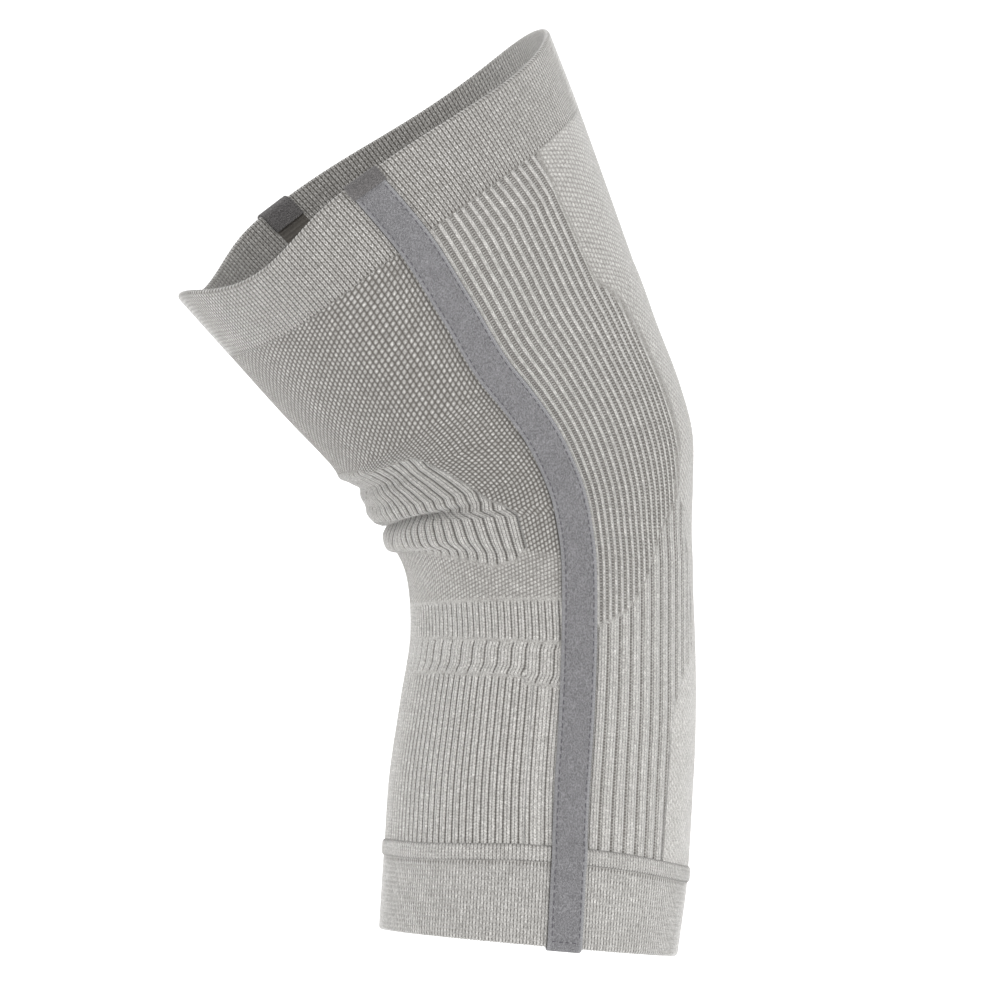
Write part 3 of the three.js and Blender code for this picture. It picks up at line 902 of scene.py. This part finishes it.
class Sleeve:
    """What every operator needs: the sizes, the form and the knit."""

    LIFT_REACH = 0.75  # share of the way from the tape to the middle over which the welt comes down
    WELT_SLOPE = 0.003  # length over which a strip climbs onto the welt

    def __init__(self, context):
        scene = context.scene
        self.sizes = scene.sleeve_sizes
        self.knit_sizes = scene.knit_sizes
        self.colours = scene.sleeve_colours
        self.form = SleeveForm(self.sizes)
        self.knit = Knit(self.knit_sizes, self.form)

    def lift(self, ring):
        """How much higher the welt lies round the sleeve."""
        return self.sizes.welt_lift * (1 - smooth(0, self.LIFT_REACH, ring.share()))

    def over_welt(self, distance):
        """How far a strip beside the tape's middle is lifted where it crosses the welt."""
        low = self.form.lower_end + self.sizes.welt_lift
        high = self.form.knit_start + self.sizes.welt_lift
        onto = smooth(low - self.WELT_SLOPE, low, distance)
        return self.sizes.welt_rise * onto * (1 - smooth(high, high + self.WELT_SLOPE, distance))

    def girth(self, distance):
        """Length round the whole sleeve at a distance."""
        return 2 * float(np.interp(distance, self.form.rows, self.form.total))


def material(name, make):
    """A material by its name, made the first time that it is asked for."""
    return bpy.data.materials.get(name) or make()


def finish_piece(obj, node):
    """Hangs a piece on the root body, and hides the CAD part that it stands for."""
    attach(obj, "root")
    if node:
        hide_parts(node)


class SLEEVE_OT_knit(Operator):
    """Knits the body of the sleeve in four bands"""

    bl_idname = "sleeve.knit"
    bl_label = "Knit body"

    SPLITS = (0.100, 0.166, 0.231)  # distances where one band ends and the next begins
    FINE = 3  # columns of the mesh to a wale, and to one column of the inside
    PLAIN = 36  # wale from which the front has no ribs and fewer columns
    INNER_ROW = 0.003  # distance between two rows of the inside

    def execute(self, context):
        sleeve = Sleeve(context)
        form, counts = sleeve.form, sleeve.knit_sizes
        ring = Ring(counts.wales_front, counts.wales_back, self.FINE, plain=self.PLAIN)
        outside = material("knit_outside", lambda: knit_finish(sleeve.colours))
        inside = material("knit_inside", lambda: inside_finish(sleeve.colours))
        edges = (form.knit_start, *self.SPLITS, form.knit_end + SEAM - HAIRLINE)
        for index, (low, high) in enumerate(zip(edges, edges[1:])):
            start = low + (sleeve.lift(ring) if index == 0 else np.zeros_like(ring.place))
            obj, flat = self.band(f"knit_band_{index + 1}", sleeve, ring, start, high, (outside, inside))
            finish_piece(obj, "knit_body")
        return {"FINISHED"}

    def band(self, name, sleeve, ring, start, high, materials):
        """A closed band of knit from a line round the sleeve up to a distance, and its flat size."""
        sizes, form = sleeve.sizes, sleeve.form
        place, side = ring.place[None], ring.side[None]
        height = high - float(start.mean())
        share = np.linspace(0, 1, round(height / sleeve.knit_sizes.row) + 1)[:, None]
        distance = start[None] + (high - start[None]) * share
        values = sleeve.knit.panels(ring, distance)
        outer = form.surface(distance, place, side, values["relief"])
        coarse = np.linspace(0, 1, round(height / self.INNER_ROW) + 1)[:, None]
        inner_start = start[None, :: self.FINE]
        inner_distance = inner_start + (high - inner_start) * coarse
        inner_place, inner_side = place[:, :: self.FINE], side[:, :: self.FINE]
        inner = form.surface(inner_distance, inner_place, inner_side, -sizes.knit_wall)
        rows, columns = distance.shape
        inner_rows, inner_columns = inner_distance.shape
        first = rows * columns
        ids = np.append(np.arange(columns), 0)
        inner_ids = np.append(np.arange(inner_columns), 0) + first
        top_ids, inner_top_ids = ids + (rows - 1) * columns, inner_ids + (inner_rows - 1) * inner_columns
        faces = [
            grid_faces(rows, columns, columns_close=True),
            grid_faces(inner_rows, inner_columns, columns_close=True)[:, ::-1] + first,
            strip_faces(ids, inner_ids, self.FINE)[:, ::-1],
            strip_faces(top_ids, inner_top_ids, self.FINE),
        ]
        vertices = np.concatenate([outer.reshape(-1, 3), inner.reshape(-1, 3)])
        obj = make_object(name, vertices, faces, materials, inner=(1,))
        inner_uv = paired(ring.wale[None, :: self.FINE], sleeve.knit.course(inner_distance)) / MAP_LOOPS
        uv = np.concatenate([values.pop("uv").reshape(-1, 2), inner_uv.reshape(-1, 2)])
        del values["relief"]
        spare = np.zeros(inner_distance.size)
        set_values(obj, uv, **{k: np.concatenate([v.ravel(), spare]) for k, v in values.items()})
        return obj, (sleeve.girth((float(start.mean()) + high) / 2), height)


class SLEEVE_OT_cuffs(Operator):
    """Knits the two doubled cuffs, rounded over their hems, and the raised welt over the lower one"""

    bl_idname = "sleeve.cuffs"
    bl_label = "Cuffs and welt"

    WALES = {"upper_cuff": (81, 56), "lower_cuff": (64, 62)}  # in front of the tape and behind it
    INNER_ROW = 0.0024  # distance between two rows of the inside
    CREST = 0.00025  # how far each wale stands out at a hem
    WELT_COURSE = 0.0013  # height of one row of loops in the welt
    WELT_RISE = 0.00012  # relief of its wales

    def execute(self, context):
        sleeve = Sleeve(context)
        sizes, form = sleeve.sizes, sleeve.form
        look = material("knit_cuff", lambda: cuff_finish(sleeve.colours))
        for node, (front, back) in self.WALES.items():
            ring = Ring(front, back, 2)
            upper = node == "upper_cuff"
            border = sizes.upper_cuff if upper else form.lower_end - HAIRLINE
            lift = np.zeros_like(ring.place) if upper else sleeve.lift(ring)
            obj = self.cuff(node, sleeve, ring, border, lift, upper, look)
            trim = [] if upper else [self.welt(sleeve, look)]
            finish_piece(obj, node)
        return {"FINISHED"}

    def cuff(self, node, sleeve, ring, border, lift, upper, look):
        """A cuff turned double, from its border with the knit round its hem and back inside."""
        sizes, form = sleeve.sizes, sleeve.form
        away, height = hem(border, border, sizes.cuff_wall, 0.0, sleeve.knit_sizes.row, self.INNER_ROW)
        along = lengths_along(away, height)
        wales = wave(ring.wale)[None]
        outward = smooth(-sizes.cuff_wall, -sizes.cuff_wall / 2, height)
        relief = sleeve.knit_sizes.cuff_rise * (wales - 0.6) * outward[:, None]
        crest = self.CREST * wales * (1 - smooth(0, 0.0015, away))[:, None]
        distance = away[:, None] + lift[None] * np.clip(away / border, 0, 1)[:, None] - crest
        if upper:
            distance = form.length - distance
        points = form.surface(distance, ring.place[None], ring.side[None], height[:, None] + relief)
        faces = grid_faces(*distance.shape, rows_close=True, columns_close=True)
        obj = make_object(f"{node}_knit", points.reshape(-1, 3), [faces], (look,))
        uv = paired(ring.wale[None], along[:, None] / sleeve.knit_sizes.cuff_course) / MAP_LOOPS
        seam = np.exp(-(((away - border + 0.0008) / 0.0006) ** 2))[:, None] * 0.7 * (1 - wales) ** 2
        dark = np.broadcast_to(seam * outward[:, None], distance.shape).ravel()
        # Painted shade in stretch: the upper cuff is darkened, the lower cuff not,
        # least at the front's middle, which faces the key light.
        ahead = np.where(ring.place < 1.5, ring.share(), 0)
        stretch = np.broadcast_to(upper * (1 - 0.65 * smooth(0.3, 0.9, ahead)), distance.shape).ravel()
        set_values(obj, uv.reshape(-1, 2), dark=dark, stretch=stretch)
        return obj

    def welt(self, sleeve, look):
        """The round ridge over the lower cuff, closed with three lines of vertices on its inside."""
        sizes, form, counts = sleeve.sizes, sleeve.form, sleeve.knit_sizes
        ring = Ring(counts.wales_front, counts.wales_back, 2)
        share = np.linspace(0, 1, 13)
        width = form.knit_start - HAIRLINE - form.lower_end
        crown = sizes.welt_rise * np.sqrt(np.clip(1 - (2 * share - 1) ** 4, 0, 1))
        height = np.concatenate([crown, np.full(3, -sizes.cuff_wall)])
        away = form.lower_end + width * np.concatenate([share, [1.0, 0.5, 0.0]])
        wales = wave(ring.wale)[None]
        distance = away[:, None] + sleeve.lift(ring)[None]
        relief = np.where(height[:, None] > 0, self.WELT_RISE * (wales - 0.5), 0)
        points = form.surface(distance, ring.place[None], ring.side[None], height[:, None] + relief)
        faces = grid_faces(*distance.shape, rows_close=True, columns_close=True)
        obj = make_object("welt_knit", points.reshape(-1, 3), [faces], (look,))
        along = lengths_along(away, height)
        uv = paired(ring.wale[None], along[:, None] / self.WELT_COURSE) / MAP_LOOPS
        ends = np.concatenate([np.abs(2 * share - 1) ** 6, [0, 0, 0]])[:, None]
        dark = ends * (0.45 + 0.4 * (1 - wales))
        set_values(obj, uv.reshape(-1, 2), dark=dark.ravel(), stretch=np.zeros(distance.size))
        finish_piece(obj, "lower_welt")
        return obj


def edge_section(width, thickness, base):
    """Cross-section of a flat strip with rounded edges, as (across, height) points."""
    bulge = thickness / 2
    top = np.linspace(-width / 2 + bulge, width / 2 - bulge, 13)
    turn = np.linspace(math.pi / 2, -math.pi / 2, 6)[1:-1]
    right = [(width / 2 - bulge + bulge * math.cos(a), base + bulge + bulge * math.sin(a)) for a in turn]
    bottom = [(x, base) for x in top[::-3]]
    left = [(-x, 2 * (base + bulge) - z) for x, z in right]
    return [(x, base + thickness) for x in top] + right + bottom + left


def strip_piece(name, sleeve, side, ends, wall, shift, section, look, upper=False):
    """A sewn strip: a closed cross-section of (across, height) points carried round a hem, from the first
    distance outside it to the second inside. Its map runs across and along it, in metres."""
    form = sleeve.form
    lines = [hem(*ends, wall, rise, 0.0006, 0.0012, turns=12) for _, rise in section]
    away = np.stack([line[0] for line in lines], 1)
    height = np.stack([line[1] for line in lines], 1) + shift
    across = np.array([x for x, _ in section])
    distance = form.length - away if upper else away
    height = height + sleeve.over_welt(distance) * (height > 0)
    points = form.surface(distance, 1.5, side, height, across[None])
    rows, columns = distance.shape
    grid = grid_faces(rows, columns, columns_close=True)
    caps = [np.arange(columns)[None, ::-1], np.arange(columns)[None] + (rows - 1) * columns]
    obj = make_object(name, points.reshape(-1, 3), [grid, *caps], (look,))
    along = lengths_along(away[:, 0], height[:, 0])
    uv = paired(across[None], along[:, None])
    half = np.abs(across).max()
    # Pale woven edges, the one towards the front in full as a painted highlight, the other at 0.45.
    edge = smooth(half - 0.0017, half - 0.0011, np.abs(across)) * np.where(across < 0, 1.0, 0.45)
    edge = np.broadcast_to(edge[None], distance.shape)
    set_values(obj, uv.reshape(-1, 2), edge=edge.ravel())
    return obj


class SLEEVE_OT_tapes(Operator):
    """Makes the velour tapes down both sides, turned up at the lower hem"""

    bl_idname = "sleeve.tapes"
    bl_label = "Side tapes"

    TURN = 0.007  # length of tape in the turn over the hem

    def execute(self, context):
        sleeve = Sleeve(context)
        sizes, colours = sleeve.sizes, sleeve.colours
        look = material("tape_velour", lambda: tape_finish("tape_velour", colours.tape, colours.tape_edge))
        section = edge_section(sizes.tape_width, sizes.tape_thickness, sizes.clearance)
        ends = (sleeve.form.length, sizes.tape_turn_up)
        flat = (sizes.tape_width, sleeve.form.length + sizes.tape_turn_up + self.TURN)
        for name, side in SIDES:
            node = f"side_tape_{name}"
            obj = strip_piece(f"{node}_velour", sleeve, side, ends, sizes.cuff_wall, 0, section, look)
            finish_piece(obj, node)
        return {"FINISHED"}


class SLEEVE_OT_caps(Operator):
    """Folds a cap over the upper end of each tape"""

    bl_idname = "sleeve.caps"
    bl_label = "Tape caps"

    TURN = 0.006  # length of a cap in the turn over the hem

    def execute(self, context):
        sleeve = Sleeve(context)
        sizes, colours = sleeve.sizes, sleeve.colours
        look = material("cap_felt", lambda: tape_finish("cap_felt", colours.cap, colours.cap))
        face = sizes.clearance + sizes.tape_thickness
        wall = sizes.cuff_wall + face
        section = edge_section(sizes.cap_width, sizes.cap_thickness, sizes.clearance)
        ends = (sizes.cap_outside, sizes.cap_inside)
        flat = (sizes.cap_width, sizes.cap_outside + sizes.cap_inside + self.TURN)
        for name, side in SIDES:
            node = f"tape_cap_{name}"
            obj = strip_piece(f"{node}_felt", sleeve, side, ends, wall, face, section, look, upper=True)
            finish_piece(obj, node)
        return {"FINISHED"}


class SLEEVE_OT_stitches(Operator):
    """Sews each tape down both edges and across its lower end"""

    bl_idname = "sleeve.stitches"
    bl_label = "Stitches"

    INSET = 0.0015  # from the tape's edge to its stitches
    START, END = 0.004, 0.002  # from the lower edge to the first stitch, and from the last to the cap
    STITCH, PITCH = 0.0022, 0.0029  # length of a stitch, and from one to the next
    ROW_AT, ROW_STITCH, ROW_PITCH = 0.0022, 0.0019, 0.0026  # the row across the lower end
    THREAD = 0.00020  # radius of the thread
    SINK = 0.00016  # how far a stitch's ends go down into the tape

    def execute(self, context):
        sleeve = Sleeve(context)
        sizes, form = sleeve.sizes, sleeve.form
        look = material("sewing_thread", lambda: thread_finish(sleeve.colours))
        inset = sizes.tape_width / 2 - self.INSET
        run = np.arange(self.START, form.length - sizes.cap_outside - self.END, self.PITCH)
        row = np.arange(-inset + 0.001, inset, self.ROW_PITCH)
        starts = [(s, edge) for edge in (-inset, inset) for s in run] + [(self.ROW_AT, x) for x in row]
        stops = [(s + self.STITCH, edge) for edge in (-inset, inset) for s in run]
        stops += [(self.ROW_AT, x + self.ROW_STITCH) for x in row]
        for name, side in SIDES:
            piece = f"side_tape_{name}_stitches"
            obj = self.capsules(piece, sleeve, side, np.array(starts), np.array(stops), look)
            finish_piece(obj, None)
        return {"FINISHED"}

    def capsules(self, name, sleeve, side, starts, stops, look):
        """Short threads on the tape's face, between points given as (distance, across)."""
        face = sleeve.sizes.clearance + sleeve.sizes.tape_thickness

        def at(points, height):
            lift = face + height + sleeve.over_welt(points[:, 0])
            return sleeve.form.surface(points[:, 0], 1.5, side, lift, points[:, 1])

        first, last = at(starts, 0.0), at(stops, 0.0)
        up = at(starts, 0.001) - first
        up /= np.linalg.norm(up, axis=1)[:, None]
        ahead = last - first
        wide = np.cross(ahead, up)
        wide /= np.linalg.norm(wide, axis=1)[:, None]
        turn = np.arange(6) * math.pi / 3
        rings = []
        for share, radius, sink in ((0, 0.4, self.SINK), (0.2, 1, 0), (0.8, 1, 0), (1, 0.4, self.SINK)):
            centre = first + ahead * share - up * sink
            spoke = wide[:, None] * np.cos(turn)[:, None] + up[:, None] * np.sin(turn)[:, None]
            rings.append(centre[:, None] + spoke * self.THREAD * radius)
        points = np.stack(rings, 1).reshape(-1, 3)
        grid = grid_faces(4, 6, columns_close=True)
        ends = np.stack([np.arange(6)[::-1], np.arange(6) + 18])
        offset = (np.arange(len(starts)) * 24)[:, None, None]
        faces = [(part[None] + offset).reshape(-1, part.shape[1])[:, ::-1] for part in (grid, ends)]
        obj = make_object(name, points, faces, (look,), angle=60, turned=True)
        set_values(obj, np.zeros((len(points), 2)))
        return obj


class SLEEVE_OT_stage(Operator):
    """Sets the camera, the soft lights, the pale floor and the backdrop"""

    bl_idname = "sleeve.stage"
    bl_label = "Stage"

    # Name, place, size in metres and power in watts
    LIGHTS = (
        ("key", (2.0, -2.2, 1.6), 1.5, 19),
        ("fill", (-2.3, -1.6, -0.1), 2.0, 6),
        ("back", (-0.6, 2.6, 2.2), 2.0, 12),
    )
    FLOOR = 9.0  # how far the floor reaches to the front and the sides
    BACKDROP = 3.2  # how far behind the origin it starts to curve up, with a radius of one metre
    TOP = 4.0  # height of the backdrop

    def execute(self, context):
        stage = context.scene.stage_sizes
        across = (math.cos(stage.azimuth), math.sin(stage.azimuth))
        target = Vector((across[0] * stage.target_right, across[1] * stage.target_right, stage.target_up))
        level = math.cos(stage.elevation)
        away = Vector((across[1] * level, -across[0] * level, math.sin(stage.elevation)))
        camera = bpy.data.objects.new("camera", bpy.data.cameras.new("camera"))
        camera.data.lens = stage.lens
        camera.data.sensor_width = 36
        camera.data.clip_end = 50
        camera.location = target + away * stage.distance
        camera.rotation_euler = (-away).to_track_quat("-Z", "Y").to_euler()
        context.collection.objects.link(camera)
        context.scene.camera = camera
        for name, place, size, power in self.LIGHTS:
            lamp = bpy.data.lights.new(name, "AREA")
            lamp.shape = "DISK"
            lamp.size = size
            lamp.energy = power * stage.light
            obj = bpy.data.objects.new(name, lamp)
            obj.location = place
            obj.rotation_euler = (-Vector(place)).to_track_quat("-Z", "Y").to_euler()
            context.collection.objects.link(obj)
        world = bpy.data.worlds.new("studio")
        world.use_nodes = True
        background = world.node_tree.nodes["Background"]
        background.inputs["Color"].default_value = (1, 1, 1, 1)
        background.inputs["Strength"].default_value = 1.0
        context.scene.world = world
        context.scene.view_settings.view_transform = "Standard"
        self.sweep(stage)
        return {"FINISHED"}

    def sweep(self, stage):
        """Floor that curves up into a backdrop."""
        turn = np.linspace(0, math.pi / 2, 25)
        curve = [(self.BACKDROP + math.sin(a), 1 - math.cos(a)) for a in turn]
        line = np.array([(-self.FLOOR, 0.0), *curve, (self.BACKDROP + 1, self.TOP)])
        across = np.linspace(-self.FLOOR, self.FLOOR, 19)
        height = line[:, None, 1] - stage.floor_drop
        points = np.stack(np.broadcast_arrays(across[None], line[:, None, 0], height), -1)
        grid = grid_faces(*points.shape[:2])
        obj = make_object("sweep", points.reshape(-1, 3), [grid], (stage_finish(),), turned=True)


class SLEEVE_PT_panel(Panel):
    """Sizes, colours and steps of the sleeve"""

    bl_idname = "SLEEVE_PT_panel"
    bl_label = "Knee Sleeve"
    bl_space_type = "VIEW_3D"
    bl_region_type = "UI"
    bl_category = "Knee Sleeve"

    def draw(self, context):
        for group_name in GROUPS:
            group = getattr(context.scene, group_name)
            box = self.layout.box()
            for name in group.__annotations__:
                box.prop(group, name)
        for operator in OPERATORS:
            self.layout.operator(operator.bl_idname)


GROUPS = {
    "sleeve_sizes": SleeveSizes,
    "knit_sizes": KnitSizes,
    "sleeve_colours": SleeveColours,
    "stage_sizes": StageSizes,
}
OPERATORS = (
    SLEEVE_OT_stage,
    SLEEVE_OT_knit,
    SLEEVE_OT_cuffs,
    SLEEVE_OT_tapes,
    SLEEVE_OT_caps,
    SLEEVE_OT_stitches,
)


def register():
    for cls in (*GROUPS.values(), *OPERATORS, SLEEVE_PT_panel):
        bpy.utils.register_class(cls)
    for name, group in GROUPS.items():
        setattr(bpy.types.Scene, name, PointerProperty(type=group))


def unregister():
    for name in GROUPS:
        delattr(bpy.types.Scene, name)
    for cls in reversed((*GROUPS.values(), *OPERATORS, SLEEVE_PT_panel)):
        bpy.utils.unregister_class(cls)


def main():
    register()
    bpy.ops.sleeve.stage()
    bpy.ops.sleeve.knit()
    bpy.ops.sleeve.cuffs()
    bpy.ops.sleeve.tapes()
    bpy.ops.sleeve.caps()
    bpy.ops.sleeve.stitches()


if __name__ == "__main__":
    main()
